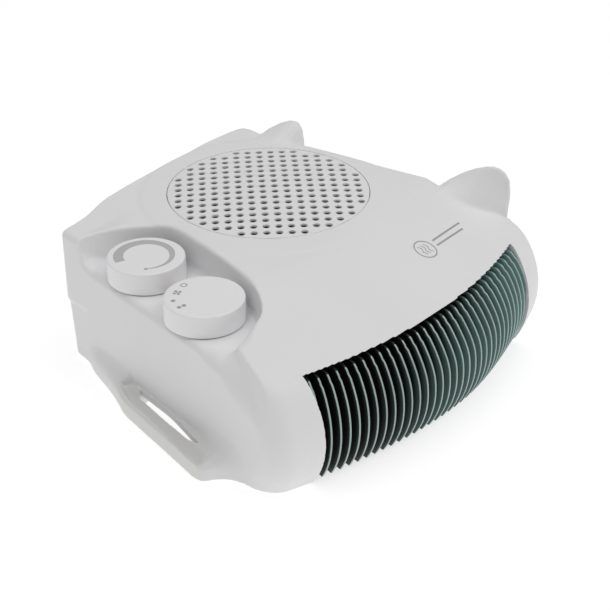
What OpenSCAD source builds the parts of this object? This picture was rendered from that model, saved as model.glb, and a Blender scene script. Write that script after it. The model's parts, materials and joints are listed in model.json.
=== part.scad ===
// Flat ceramic fan heater that can also stand on its right side. Millimetres, +Z up, front is -Y.
// The shell is a splayed plan cut by one revolved profile: flat top, conical slope, bulged front.
// The origin is the middle of the bottom of the whole object, on the floor.

/* [Housing] */
// Height of the flat top above the floor
top_z = 90.5; // [88:0.5:94]
// Half width of the plan level with the rear corners
back_half_w = 93; // [92:0.5:95]
// Sideways splay of each side wall for each millimetre towards the front
splay = 0.1667; // [0.155:0.005:0.18]
// Radius of the bowed front about its distant vertical axis, at the outlet's upper lip
bow_r = 324; // [320:1:328]
// Height of the outlet's upper lip above the floor
lip_z = 65.9; // [64:0.5:67]
// Radius of the bulge of the front face, seen from the side
bulge_r = 53; // [52:0.5:55]
// Wall thickness of both shells
wall = 2.5; // [2.2:0.1:2.8]
// Height of the joint between the upper and the lower shell
split_z = 8; // [7.5:0.1:8.5]
// Height of the underside of the lower shell, which the rubber feet bridge
base_z = 1.5; // [1.2:0.1:2]
// Radius of the front vertical corners
front_corner_r = 14; // [11:0.5:16]
// Radius of the rear vertical corners
rear_corner_r = 14; // [10:0.5:16]

/* [Intake] */
// Sideways place of the fan axis from the middle line of the plan
fan_x = 18.25; // [17:0.25:19]
// Radius of the perforated intake disc
intake_r = 61.5; // [61:0.1:62]
// Spacing of the round holes, on a square lattice turned by 45 degrees
hole_pitch = 7.3; // [7:0.1:7.6]
// Diameter of each round hole
hole_d = 4.1; // [3.6:0.1:4.4]
// Radius of the field of hole centres
hole_field_r = 58.5; // [50:0.5:58.5]

/* [Outlet] */
// Half width of the outlet
outlet_half_w = 95; // [94:0.5:96]
// Number of upright slats
slat_count = 33; // [25:2:37]
// Thickness of each slat
slat_t = 1.5; // [1.2:0.1:1.8]

/* [Controls] */
// Knob radius
knob_r = 22.7; // [21:0.1:23]
// Knob height
knob_h = 13.4; // [11:0.2:14]
// Height of the floor of the control recess
recess_z = 69; // [68:0.5:70]
// Place of the rear knob's axis, left of the middle line
knob1_x = 79.1; // [78.5:0.1:80]
// Place of the rear knob's axis, behind the fan axis
knob1_y = 5.6; // [4.5:0.1:7]
// Place of the front knob's axis, left of the middle line
knob2_x = 89.9; // [89:0.1:91]
// Place of the front knob's axis, in front of the fan axis
knob2_y = 51.2; // [50:0.1:52]
// Radius of both spindles
spindle_r = 3; // [2.8:0.1:3.2]

/* [Carry loop] */
// How far the bar stands out from the left wall
loop_out = 17.3; // [16:0.1:18.5]
// Thickness of the bar, seen from above
bar_w = 9.3; // [8:0.1:10]
// Height of the top of the bar above the floor
bar_z = 13; // [12:0.5:14]
// How far the finger gap runs in under the wall
gap_in = 10.5; // [9:0.5:12]

/* [Stand ears] */
// Height of the rear ear above the floor
ear1_z = 98.4; // [96:0.2:101]
// Height of the front ear above the floor
ear2_z = 100.4; // [98:0.2:103]
// Thickness of each ear at its foot
ear_t = 22; // [15:0.5:24]

/* [Fan and motor] */
// Radius of the fan blades
blade_r = 53; // [48:1:54]
// Number of fan blades
blade_count = 7; // [5:1:9]
// Radius of the motor case
motor_r = 24; // [22:1:26]
// Radius of the motor shaft
shaft_r = 2.5; // [2.3:0.1:2.8]

/* [Hidden] */
$fn = 48;

// Plan: side walls lean out by splay, the front and the back are arcs, all corners are round.
lean = sqrt(1 + splay * splay);
wall_a = back_half_w + 58 * splay;
function half_w(y) = wall_a - splay * y;
bow_y = bow_r - 141.6;
bulge_z = 29.7;
lip_reach = sqrt(bulge_r * bulge_r - pow(lip_z - bulge_z, 2));
bulge_r0 = bow_r - lip_reach;
front_r = bulge_r0 + bulge_r;
back_r = 537;
back_x = 50.2;
back_y = 78.8 - back_r;
// Height along y of a corner centre, where a side wall moved in meets an arc about (bx, by)
function corner_y(s, a, bx, by, q, e) =
    let (m = a * splay - s * bx * splay + by,
         c = a * a - 2 * s * bx * a + bx * bx + by * by - q * q)
    (m + e * sqrt(m * m - lean * lean * c)) / (lean * lean);
fc_a = wall_a - front_corner_r * lean;
rc_a = wall_a - rear_corner_r * lean;
rc_y1 = corner_y(1, rc_a, back_x, back_y, back_r - rear_corner_r, 1);
rc_x1 = rc_a - splay * rc_y1;
rc_y2 = corner_y(-1, rc_a, back_x, back_y, back_r - rear_corner_r, 1);
rc_x2 = -(rc_a - splay * rc_y2);
function front_y(r) = corner_y(1, fc_a, 0, bow_y, r - front_corner_r, -1);
fc_y = front_y(front_r);
fc_x = fc_a - splay * fc_y;
side_deg = atan(splay);
function arc(c, r, a0, a1, n) = [for (i = [0:n]) let (a = a0 + (a1 - a0) * i / n)
    [c[0] + r * cos(a), c[1] + r * sin(a)]];
back_deg1 = atan2(rc_y1 - back_y, rc_x1 - back_x);
back_deg2 = atan2(rc_y2 - back_y, rc_x2 - back_x);
// Plan at the height where the front arc has radius r, moved in by t
function plan(t, r) = let (y = front_y(r + t), x = fc_a - splay * y, a = atan2(y - bow_y, x)) concat(
    arc([x, y], front_corner_r - t, a, side_deg, 5),
    arc([rc_x1, rc_y1], rear_corner_r - t, side_deg, back_deg1, 4),
    arc([back_x, back_y], back_r - t, back_deg1 + 1, back_deg2 - 1, 8),
    arc([rc_x2, rc_y2], rear_corner_r - t, back_deg2, 180 - side_deg, 4),
    arc([-x, y], front_corner_r - t, 180 - side_deg, 180 - a, 5),
    arc([0, bow_y], r, -180 - a + 0.8, a - 0.8, 12));
// Radius of the front about the bow axis: bulged face up to the lip, conical slope above it
function face_r(z, t) = bulge_r0 + sqrt(pow(bulge_r - t, 2) - pow(z - bulge_z, 2));
slope_r = bow_r - (top_z - lip_z) / tan(18);
// The frame is moved so that its origin is in the middle of the whole object
left_end = half_w(-84) + loop_out;
right_end = fc_x + front_corner_r;
mid_x = (right_end - left_end) / 2;
rear_end = back_y + back_r + 2.6;
front_end = bow_y - front_r + 1.33;
mid_y = (rear_end + front_end) / 2;
module at_frame() { translate([-mid_x, -mid_y, 0]) children(); }

// Outer form of the shell, moved in by t, from height z0 to height z1 or to the flat top
function ring(t, r, z) = [for (p = plan(t, r)) [p[0], p[1], z]];
module form(t, z0, z1 = 200) {
    lip = lip_z - 1.6 * t;
    zt = min(z1, lip);
    n = z1 > lip ? 7 : 2;
    rings = concat([for (i = [0:n]) let (z = z0 + (zt - z0) * i / n) ring(t, face_r(z, t), z)],
        z1 > lip ? [ring(t, slope_r, top_z - t)] : []);
    m = len(rings[0]);
    k = len(rings) - 1;
    polyhedron(points = [for (q = rings, p = q) p], convexity = 4, faces = concat(
        [[for (j = [0:m - 1]) j]], [[for (j = [m - 1:-1:0]) k * m + j]],
        [for (i = [0:k - 1], j = [0:m - 1]) [i * m + j, i * m + m + j, i * m + m + (j + 1) % m]],
        [for (i = [0:k - 1], j = [0:m - 1]) [i * m + j, i * m + m + (j + 1) % m, i * m + (j + 1) % m]]));
}
module below(z) { translate([-200, -200, z - 200]) cube([400, 400, 200]); }
module above(z) { translate([-200, -200, z]) cube([400, 400, 200]); }
k1 = [-knob1_x, knob1_y];
k2 = [-knob2_x, -knob2_y];
// Outline of the control recess, which passes both knobs closely and is open to the left
recess_line = concat([[-160, 43], [-90, 42.5]],
    [for (a = [80:-15:-10]) k1 + [4.5 + 21.8 * cos(a), 9 + 19 * sin(a)]],
    [k1 + [21.5, -33], k2 + [27.6, 3.5], k2 + [23.5, -10.5], k2 + [19, -21], k2 + [14, -29],
    k2 + [8, -34], k2 + [-1, -37], [-160, k2[1] - 37.5]]);
function unit(v) = v / norm(v);
function across(v) = [-v[1], v[0]];
// The same outline grown by e
module recess_plan(e) {
    n = len(recess_line);
    polygon([for (i = [0:n - 1]) recess_line[i]
        + e * unit(across(recess_line[(i + 1) % n] - recess_line[(i + n - 1) % n]))]);
}
// Finger gap of the carry loop in plan: a slanted box along the wall, grown by e
module gap_plan(e) {
    y0 = -14;
    y1 = -80;
    o = loop_out - bar_w;
    polygon([[-half_w(y0) - o - e, y0 - 7], [-half_w(y0) - o + 5, y0 + e], [-half_w(y0) + gap_in - 3, y0 + e],
        [-half_w(y0) + gap_in + e, y0 - 4], [-half_w(y1) + gap_in + e, y1 + 4],
        [-half_w(y1) + gap_in - 3, y1 - e], [-half_w(y1) - o + 4, y1 - e], [-half_w(y1) - o - e, y1 + 4]]);
}
// Plan region from a line d outside the left wall across to x
module beside_wall(d, x) {
    polygon([for (y = [70, -130]) [-half_w(y) - d, y], for (y = [-130, 70]) [x, y]]);
}
// Outline of the loop: it leaves the wall slowly at the back and squarely at the front
module loop_plan() {
    polygon(concat([[-half_w(52) + 6, 52], [-half_w(52), 52], [-half_w(24) - 2.6, 24], [-half_w(2) - 8.6, 2],
        [-half_w(-16) - loop_out + 1.2, -16], [-half_w(-26) - loop_out, -26]],
        arc([-half_w(-84) - loop_out + 8, -84], 8, 180, 262, 6),
        [[-half_w(-96), -94.5], [-half_w(-96) + 10, -97]]));
}
// Place of the outlet: everything between the cheeks and outside radius r
module outlet_zone(r, z1) {
    intersection() {
        translate([-outlet_half_w, -200, -5]) cube([2 * outlet_half_w, 150, z1 + 5]);
        difference() {
            translate([0, bow_y, -5]) cylinder(r = front_r + 20, h = z1 + 5, $fn = 96);
            translate([0, bow_y, -6]) cylinder(r = r, h = z1 + 8, $fn = 96);
        }
    }
}
posts = [[-70, 49, 89], [78, 58, 89], [-104, -104, 70], [104, -104, 70]];
// One ear: a plate along the right wall, drawn in its own plane and leaning in to its tip
module ear(y0, y1, y2, h) {
    b = 78;
    rise = h - b;
    n = 10;
    intersection() {
        translate([half_w(0) - 0.3, 0, b]) rotate([0, 0, side_deg]) rotate([90, 0, -90])
            linear_extrude(height = ear_t) polygon(concat([[-y0 * lean, -8], [-y0 * lean, 0]],
            [for (i = [0:n]) let (s = i / n, y = y0 + (y1 - y0) * s)
                [-y * lean, rise * (1 - 0.5 * pow(1 - s, 2)) * sin(90 * min(1, 0.22 + s)) / 1]],
            [for (i = [1:6]) [-(y1 + (y2 - y1) * sin(15 * i)) * lean, rise - 7 * (1 - cos(15 * i))]],
            [[-y2 * lean, -8]]));
        translate([half_w(0), 0, 0]) rotate([0, 0, side_deg]) rotate([90, 0, 0]) translate([0, 0, -200])
            linear_extrude(height = 400) polygon([[0, 0], [0, h + 1], [-5, h + 1], [-ear_t, b - 4], [-ear_t, 0]]);
    }
}
module top_housing() {
    color("gainsboro") at_frame() difference() {
        union() {
            difference() {
                union() {
                    form(0, split_z);
                    ear(71, 46, 36.5, ear1_z);
                    ear(-60, -95, -107.5, ear2_z);
                }
                difference() {
                    form(wall, split_z - 1);
                    translate([0, 0, recess_z - wall]) linear_extrude(height = 60) recess_plan(wall);
                    translate([fan_x, 0, top_z - 5]) cylinder(r = intake_r + 3, h = 10, $fn = 96);
                    for (s = [-1, 1]) translate([s * (outlet_half_w + 0.6), -125, 0])
                        translate([-1.9, -40, 0]) cube([3.8, 60, 100]);
                }
            }
            for (p = posts) translate([p[0], p[1], split_z]) cylinder(r = 4.5, h = p[2] - split_z);
        }
        translate([0, 0, recess_z]) linear_extrude(height = 60) recess_plan(0);
        translate([fan_x, 0, top_z - wall]) cylinder(r = intake_r + 0.2, h = 10, $fn = 96);
        translate([fan_x, 0, top_z - 20]) cylinder(r = intake_r - 3.5, h = 30, $fn = 96);
        for (k = [k1, k2]) translate([k[0], k[1], recess_z - 10]) cylinder(r = 4.6, h = 20);
        translate([k1[0] - 5.6, k1[1] - 27.8, recess_z - 10]) cylinder(r = 3.6, h = 20);
        outlet_zone(309, lip_z);
        translate([back_x, back_y + back_r - 10, 22]) rotate([-90, 0, 0]) cylinder(r = 7.1, h = 20);
        for (p = posts) translate([p[0], p[1], split_z - 1]) cylinder(r = 1.6, h = 21);
    }
}
module bottom_housing() {
    color("gainsboro") at_frame() difference() {
        union() {
            difference() {
                form(0, base_z, split_z);
                difference() {
                    form(wall, base_z + wall, split_z + 1);
                    linear_extrude(height = 60) gap_plan(wall);
                }
            }
            intersection() {
                translate([0, 0, split_z - 0.1]) linear_extrude(height = wall) gap_plan(wall);
                form(wall + 0.3, base_z, 20);
            }
            for (i = [0, 1]) translate([0, 0, i == 0 ? base_z : split_z - 0.1])
                linear_extrude(height = i == 0 ? split_z - base_z : bar_z - split_z + 0.1) difference() {
                    loop_plan();
                    beside_wall(i == 0 ? -1.5 : 0.3, 60);
                }
            for (p = posts) translate([p[0], p[1], base_z]) cylinder(r = 6.5, h = split_z - base_z);
            for (s = [-1, 1]) translate([s * 80 - 6, -112, base_z]) cube([12, 14, 8 - base_z]);
            for (a = [45:90:315]) translate([fan_x, 0, base_z]) rotate([0, 0, a])
                translate([30, 0, 0]) cylinder(r = 5, h = 12.5 - base_z);
        }
        translate([0, 0, -1]) linear_extrude(height = split_z + 1) gap_plan(0);
        translate([0, 0, -1]) linear_extrude(height = 40) intersection() {
            gap_plan(0);
            beside_wall(0.01, -200);
        }
        outlet_zone(309, split_z + 6);
        for (p = posts) translate([p[0], p[1], 0]) {
            translate([0, 0, -1]) cylinder(r = 2.1, h = 20);
            translate([0, 0, -1]) cylinder(r = 4.2, h = base_z + 4);
        }
        for (a = [45:90:315]) translate([fan_x, 0, 5]) rotate([0, 0, a])
            translate([30, 0, 0]) cylinder(r = 1.4, h = 20);
    }
}
row_n = ceil(hole_field_r / hole_pitch);
module intake_grille() {
    color("gainsboro") at_frame() translate([fan_x, 0, top_z - wall]) difference() {
        union() {
            cylinder(r = intake_r, h = wall + 0.1, $fn = 96);
            intersection() {
                translate([0, 0, -4]) cylinder(r = intake_r - 5, h = 5, $fn = 96);
                rotate([0, 0, -45]) for (j = [-row_n:2:row_n - 1])
                    translate([-70, (j + 0.5) * hole_pitch - 1.5, -4]) cube([140, 3, 5]);
            }
        }
        rotate([0, 0, -45]) for (i = [-row_n:row_n - 1], j = [-row_n:row_n - 1])
            let (x = (i + 0.5) * hole_pitch, y = (j + 0.5) * hole_pitch)
            if (norm([x, y]) < hole_field_r) translate([x, y, 0]) cylinder(d = hole_d, h = wall + 3, $fn = 16);
    }
}
slat_deg = 2 * asin((outlet_half_w - 2.6) / bow_r) / (slat_count - 1);
slat_back = 311.5;
module outlet_grille() {
    color("darkslategray") at_frame() {
        intersection() {
            translate([0, bow_y, 0]) {
                for (i = [0:slat_count - 1]) rotate([0, 0, -90 + (i - (slat_count - 1) / 2) * slat_deg])
                    rotate([90, 0, 0]) translate([0, 0, -slat_t / 2]) linear_extrude(height = slat_t)
                    polygon(concat([[slat_back, base_z + 0.6]],
                        [for (j = [0:8]) let (z = base_z + 0.6 + (lip_z - 1.2 - base_z) * j / 8) [face_r(z, 1.2), z]],
                        [[slat_back, lip_z - 0.6]]));
                for (z = [3, 22, 42, lip_z - 3.4]) translate([0, 0, z])
                    rotate_extrude(angle = 40, start = -110, $fn = 96) translate([slat_back, 0]) square([2.5, 2.5]);
            }
            translate([0.4 - outlet_half_w, -200, 0]) cube([2 * outlet_half_w - 0.8, 150, 100]);
        }
    }
}
knob_z = recess_z + 0.6;
// Hollow round knob with a centre boss that grips the spindle
module knob(r) {
    translate([0, 0, knob_z]) {
        rotate_extrude($fn = 96) polygon([[spindle_r + 0.02, 3.4], [6, 3.4], [6, knob_h - 2.4],
            [r - 2, knob_h - 2.4], [r - 2, 0], [r, 0], [r - 0.2, knob_h - 1.4], [r - 0.7, knob_h - 0.5],
            [r - 1.6, knob_h], [0, knob_h], [0, knob_h - 2], [spindle_r + 0.02, knob_h - 2]]);
    }
}
module thermostat_knob() { color("whitesmoke") at_frame() translate(k1) knob(knob_r); }
module selector_knob() { color("whitesmoke") at_frame() translate(k2) knob(knob_r); }
module spindle(z0) {
    translate([0, 0, z0]) cylinder(r = spindle_r, h = knob_z + knob_h - 2.1 - z0);
    translate([0, 0, z0 - 2.5]) cylinder(r = spindle_r + 4, h = 2.5);
}
module thermostat_spindle() { color("silver") at_frame() translate(k1) spindle(57); }
module selector_spindle() { color("silver") at_frame() translate(k2) spindle(57); }
// Threaded neck that holds a control up against the underside of the recess floor
module neck_and_bore(z0) {
    difference() {
        union() {
            children();
            translate([0, 0, recess_z - wall - 1]) cylinder(r = 4.5, h = wall + 4);
        }
        translate([0, 0, z0]) cylinder(r = spindle_r + 0.05, h = 40);
        translate([0, 0, z0 - 3]) cylinder(r = spindle_r + 4.3, h = 6.3);
    }
}
module thermostat_body() {
    color("tan") at_frame() translate(k1) neck_and_bore(54) {
        translate([0, 0, 49]) cylinder(r = 14, h = recess_z - wall - 49);
        translate([-5, -19, 49]) cube([10, 38, 5]);
    }
}
module selector_switch() {
    color("dimgray") at_frame() translate(k2) neck_and_bore(54) {
        translate([-13, -13, 47]) cube([26, 26, recess_z - wall - 47]);
        for (i = [-1:1]) translate([i * 8 - 2.5, -0.4, 40]) cube([5, 0.8, 8]);
    }
}
module spindle_nuts() {
    color("silver") at_frame() for (k = [k1, k2]) translate([k[0], k[1], recess_z]) difference() {
        cylinder(r = 7.5, h = 2.4, $fn = 6);
        translate([0, 0, -1]) cylinder(r = 4.55, h = 5);
    }
}
lamp = [k1[0] - 5.6, k1[1] - 27.8];
module pilot_lamp_lens() {
    color("darkred") at_frame() translate(lamp) {
        translate([0, 0, recess_z - 6]) cylinder(r = 3.4, h = 6.2);
        translate([0, 0, recess_z]) cylinder(r1 = 4.6, r2 = 4.2, h = 1.4, $fn = 32);
    }
}
module pilot_lamp_holder() {
    color("gray") at_frame() translate(lamp) difference() {
        translate([0, 0, recess_z - 16]) cylinder(r = 5, h = 16 - wall);
        translate([0, 0, recess_z - 6]) cylinder(r = 3.5, h = 10);
    }
}
fan_z = 54;
module fan_impeller() {
    color("black") at_frame() translate([fan_x, 0, fan_z]) difference() {
        union() {
            cylinder(r = 15, h = 20);
            for (i = [0:blade_count - 1]) rotate([0, 0, i * 360 / blade_count]) intersection() {
                translate([13, 0, 10]) rotate([32, 0, 0]) translate([0, -15, -0.8]) cube([blade_r, 30, 1.6]);
                cylinder(r = blade_r, h = 20, $fn = 96);
            }
        }
        translate([0, 0, -1]) cylinder(r = shaft_r + 0.02, h = 19);
        translate([0, 0, -1]) difference() { cylinder(r = 13, h = 13); cylinder(r = 5.5, h = 13); }
    }
}
module motor_shaft() { color("silver") at_frame() translate([fan_x, 0, 15.2]) cylinder(r = shaft_r, h = fan_z + 17.6 - 15.2); }
module motor_rotor() {
    color("peru") at_frame() translate([fan_x, 0, 23]) difference() {
        cylinder(r = 12, h = 18);
        translate([0, 0, -1]) cylinder(r = shaft_r + 0.02, h = 20);
    }
}
module motor_stator() {
    color("chocolate") at_frame() translate([fan_x, 0, 22]) difference() {
        cylinder(r = motor_r - 1.3, h = 20);
        translate([0, 0, -1]) cylinder(r = 12.6, h = 22);
    }
}
module motor_case() {
    color("silver") at_frame() translate([fan_x, 0, 14.5]) difference() {
        union() {
            cylinder(r = motor_r, h = 33);
            for (a = [45:90:315]) rotate([0, 0, a]) translate([0, -6, 0]) cube([motor_r + 3, 12, 1.5]);
        }
        translate([0, 0, 1.5]) cylinder(r = motor_r - 1.2, h = 30);
        translate([0, 0, -1]) cylinder(r = 6.6, h = 40);
    }
}
module motor_bearings() {
    color("goldenrod") at_frame() translate([fan_x, 0, 0]) for (z = [15, 42.6]) translate([0, 0, z]) difference() {
        cylinder(r = 6.5, h = 4.6);
        translate([0, 0, -1]) cylinder(r = shaft_r + 0.04, h = 7);
    }
}
module motor_bracket() {
    color("lightsteelblue") at_frame() translate([fan_x, 0, 12.5]) difference() {
        union() {
            cylinder(r = motor_r + 1, h = 2);
            for (a = [45:90:315]) rotate([0, 0, a]) translate([0, -6, 0]) cube([35, 12, 2]);
        }
        for (a = [45:90:315]) rotate([0, 0, a]) translate([30, 0, -1]) cylinder(r = 1.8, h = 5);
        translate([0, 0, -1]) cylinder(r = 4, h = 4);
    }
}
module screw(r, l, hr, hh) {
    translate([0, 0, -l]) cylinder(r = r, h = l + 0.1);
    difference() {
        cylinder(r = hr, h = hh);
        for (a = [0, 90]) rotate([0, 0, a]) translate([-hr * 0.6, -0.4, hh - 1]) cube([hr * 1.2, 0.8, 2]);
    }
}
module motor_screws() {
    color("silver") at_frame() for (a = [45:90:315]) translate([fan_x, 0, 14.5]) rotate([0, 0, a])
        translate([30, 0, 0]) screw(1.38, 8, 2.8, 1.8);
}
// Duct: a ring about the fan that opens into two flat walls leading to the heater
module duct_plan(e) {
    translate([fan_x, 0]) circle(r = 60 + e, $fn = 96);
    polygon([[fan_x - 60 - e, 0], [-90 - e, -96], [90 + e, -96], [fan_x + 60 + e, 0]]);
}
module air_duct() {
    color("silver") at_frame() intersection() {
        translate([0, 0, base_z + wall]) linear_extrude(height = top_z - 9 - base_z) difference() {
            duct_plan(2);
            duct_plan(0);
            translate([-100, -110]) square([200, 15]);
        }
        form(wall + 0.6, base_z);
        difference() {
            below(top_z - 5.6);
            translate([0, 0, recess_z - wall - 0.6]) linear_extrude(height = 60) recess_plan(wall + 0.6);
        }
    }
}
frame_z = 8;
frame_h = 52;
rows = 3;
row_h = (frame_h - 8) / rows;
module heater_frame() {
    color("ivory") at_frame() translate([-92, -112, frame_z]) difference() {
        cube([184, 14, frame_h]);
        translate([4, -1, 4]) cube([176, 16, frame_h - 8]);
    }
}
module ceramic_bars() {
    color("dimgray") at_frame() for (i = [0:rows - 1])
        translate([-86, -110, frame_z + 4 + (i + 0.5) * row_h - 1.2]) cube([172, 10, 2.4]);
}
module electrode_strips() {
    color("silver") at_frame() for (i = [0:rows - 1], s = [-1, 1])
        translate([-87, -110.5, frame_z + 4 + (i + 0.5) * row_h + s * 1.6 - 0.4]) cube([174, 11, 0.8]);
}
module heater_fins() {
    color("lightgray") at_frame() for (i = [0:rows - 1], s = [-1, 1], j = [-14:14]) {
        z0 = frame_z + 4 + (i + 0.5) * row_h + (s > 0 ? 2 : -row_h / 2 + 0.2);
        translate([j * 6 - 0.4, -111, z0]) cube([0.8, 12, row_h / 2 - 2.2]);
    }
}
module thermal_cutout() {
    color("black") at_frame() translate([45, -84, base_z + wall]) {
        cylinder(r = 8, h = 6);
        translate([-14, -4, 0]) difference() {
            cube([28, 8, 1.2]);
            for (x = [2.8, 25.2]) translate([x, 4, -1]) cylinder(r = 1.7, h = 4);
        }
    }
}
module cutout_screws() {
    color("silver") at_frame() for (x = [-11.2, 11.2]) translate([45 + x, -84, base_z + wall + 1.2]) screw(1.5, 1.2, 2.4, 1.6);
}
module terminal_block() {
    color("ivory") at_frame() translate([72, 35.5, base_z + wall]) difference() {
        cube([18, 15, 14]);
        for (x = [4.5, 13.5]) {
            translate([x, 7.5, 6]) cylinder(r = 2.4, h = 10);
            translate([x, -1, 4]) rotate([-90, 0, 0]) cylinder(r = 1.8, h = 18);
        }
    }
}
module terminal_screws() {
    color("goldenrod") at_frame() for (x = [4.5, 13.5]) translate([72 + x, 43, base_z + wall + 6.2])
        cylinder(r = 2.2, h = 5);
}
module cord_bushing() {
    color("dimgray") at_frame() translate([back_x, back_y + back_r, 22]) rotate([-90, 0, 0]) difference() {
        union() {
            translate([0, 0, -5]) cylinder(r = 7, h = 7.6);
            translate([0, 0, 0.05]) cylinder(r = 9.5, h = 2.55);
            translate([0, 0, -wall - 2.6]) cylinder(r = 9, h = 2.2);
        }
        translate([0, 0, -10]) cylinder(r = 3.3, h = 20);
    }
}
module rubber_feet() {
    color("black") at_frame() for (p = [[-54, 40], [60, 58], [-88, -92], [90, -92]])
        translate([p[0], p[1], 0]) cylinder(r1 = 6.6, r2 = 7, h = base_z);
}
module housing_screws() {
    color("silver") at_frame() for (p = posts) translate([p[0], p[1], base_z + 3]) rotate([180, 0, 0])
        screw(1.58, 14, 3.6, 2);
}

top_housing();
bottom_housing();
intake_grille();
outlet_grille();
thermostat_knob();
selector_knob();
thermostat_spindle();
selector_spindle();
thermostat_body();
selector_switch();
spindle_nuts();
pilot_lamp_lens();
pilot_lamp_holder();
fan_impeller();
motor_shaft();
motor_rotor();
motor_stator();
motor_case();
motor_bearings();
motor_bracket();
motor_screws();
air_duct();
heater_frame();
ceramic_bars();
electrode_strips();
heater_fins();
thermal_cutout();
cutout_screws();
terminal_block();
terminal_screws();
cord_bushing();
rubber_feet();
housing_screws();
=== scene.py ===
import json
import math

import bmesh
import bpy
import numpy as np
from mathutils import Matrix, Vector


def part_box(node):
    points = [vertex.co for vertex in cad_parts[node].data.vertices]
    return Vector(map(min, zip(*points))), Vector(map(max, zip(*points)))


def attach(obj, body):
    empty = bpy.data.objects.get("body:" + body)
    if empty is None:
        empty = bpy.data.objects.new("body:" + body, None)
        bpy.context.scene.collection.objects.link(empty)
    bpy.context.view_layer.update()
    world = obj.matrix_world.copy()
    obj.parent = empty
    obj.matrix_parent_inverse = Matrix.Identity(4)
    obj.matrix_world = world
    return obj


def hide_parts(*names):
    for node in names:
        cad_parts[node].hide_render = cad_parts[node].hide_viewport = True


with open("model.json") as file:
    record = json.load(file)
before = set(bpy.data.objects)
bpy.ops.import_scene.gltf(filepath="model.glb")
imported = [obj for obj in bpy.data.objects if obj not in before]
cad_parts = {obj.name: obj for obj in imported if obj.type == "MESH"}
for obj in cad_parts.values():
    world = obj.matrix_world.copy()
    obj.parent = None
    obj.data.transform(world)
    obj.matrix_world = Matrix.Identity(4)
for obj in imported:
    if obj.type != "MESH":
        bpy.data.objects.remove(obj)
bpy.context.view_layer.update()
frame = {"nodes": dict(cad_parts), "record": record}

# ------------------------ places, in the plan's own mm
# x = 0 is the middle line of the plan, y = 0 is level with the fan axis, z = 0 is the floor.
FAN = (18.25, 0.0)
disc_lo, disc_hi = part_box("intake_grille")
# the plan's zero in the frame, in mm
MX = (disc_lo[0] + disc_hi[0]) * 500 - FAN[0]
MY = (disc_lo[1] + disc_hi[1]) * 500 - FAN[1]


def centre(node):
    """Middle of a CAD node in plan."""
    a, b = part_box(node)
    return ((a[0] + b[0]) * 500 - MX, (a[1] + b[1]) * 500 - MY)


K1 = centre("thermostat_knob")
K2 = centre("selector_knob")
LAMP = centre("pilot_lamp_lens")
CORD = (50.2, 78.8, 22.0)
# the outlet is bowed round this point on the middle line
BOW_Y = 182.4


def metres(v):
    """Plan millimetres to frame metres."""
    v = np.asarray(v, dtype=np.float64)
    return (v + np.array([MX, MY, 0.0])) / 1000.0


# ------------------------ field helpers
# A field is a signed distance in mm, negative inside.
def rint(a, b, r):
    """Where both hold, with the edge rounded by r."""
    return np.minimum(-r, np.maximum(a, b)) + np.hypot(np.maximum(r + a, 0), np.maximum(r + b, 0))


def runi(a, b, r):
    """Where either holds, with the corner filled by r."""
    return np.maximum(r, np.minimum(a, b)) - np.hypot(np.maximum(r - a, 0), np.maximum(r - b, 0))


def ss(a, b, x):
    """A smooth step from 0 at a to 1 at b."""
    t = np.clip((x - a) / (b - a), 0, 1)
    return t * t * (3 - 2 * t)


def mix(a, b, t):
    return a + (b - a) * t


def poly_sd(points, x, y):
    """Signed distance to a closed outline, negative inside."""
    best = None
    inside = None
    n = len(points)
    for i in range(n):
        ax, ay = points[i]
        bx, by = points[(i + 1) % n]
        ex, ey = bx - ax, by - ay
        px, py = x - ax, y - ay
        t = np.clip((px * ex + py * ey) / (ex * ex + ey * ey), 0, 1)
        d = (px - t * ex) ** 2 + (py - t * ey) ** 2
        cond = (ay <= y) != (by <= y)
        cross = (ex * py - ey * px) * (1 if by > ay else -1) > 0
        hit = cond & cross
        best = d if best is None else np.minimum(best, d)
        inside = hit if inside is None else inside ^ hit
    d = np.sqrt(best)
    return np.where(inside, -d, d)


def smooth_line(points, steps, closed=True):
    """Catmull-Rom curve through the points."""
    n = len(points)
    out = []
    for i in range(n if closed else n - 1):
        if closed:
            p = [points[(i + k) % n] for k in (-1, 0, 1, 2)]
        else:
            p = [points[min(max(i + k, 0), n - 1)] for k in (-1, 0, 1, 2)]
        for s in range(steps):
            t = s / steps
            out.append(tuple(
                0.5 * (2 * p[1][c] + (p[2][c] - p[0][c]) * t
                       + (2 * p[0][c] - 5 * p[1][c] + 4 * p[2][c] - p[3][c]) * t * t
                       + (3 * p[1][c] - p[0][c] - 3 * p[2][c] + p[3][c]) * t ** 3)
                for c in (0, 1)))
    if not closed:
        out.append(tuple(points[-1]))
    return out


# ------------------------ outer form
# the side walls: half the width level with the fan, and how much it grows for each mm towards the front
HALF_WIDTH = 102.669
SPLAY = 0.1667
LEAN = math.hypot(1, SPLAY)
# the rear wall is an arc
BACK_X, BACK_Y, BACK_R = 50.2, -458.2, 537
# flat roof, with a low dome over the intake
ROOF_Z = 88.0
DOME_Z, DOME_FALL, DOME_R = 91.2, 1.6, 61
# front slope down to the lip over the outlet, and the bulge below it
SLOPE = math.radians(19.2)
LIP_R, LIP_Z = 324.0, 65.9
BULGE_R0, BULGE_Z, BULGE_R = 285.29, 29.7, 53.0
BULGE_ARC = math.radians(48)
# half width of the outlet, height where the shells part, underside, thickness, recess floor
OUT_W = 95.0
SPLIT = 8.0
BASE = 1.5
WALL = 2.5
RECESS_Z = 69.0
BASE_EDGE = 1.3
EAR_EDGE = 1.6


def half_w(y):
    return HALF_WIDTH - SPLAY * y


def dome_z(rho):
    """Height of the intake's dome at a distance from the fan axis."""
    return DOME_Z - DOME_FALL * (rho / DOME_R) ** 2


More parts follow.
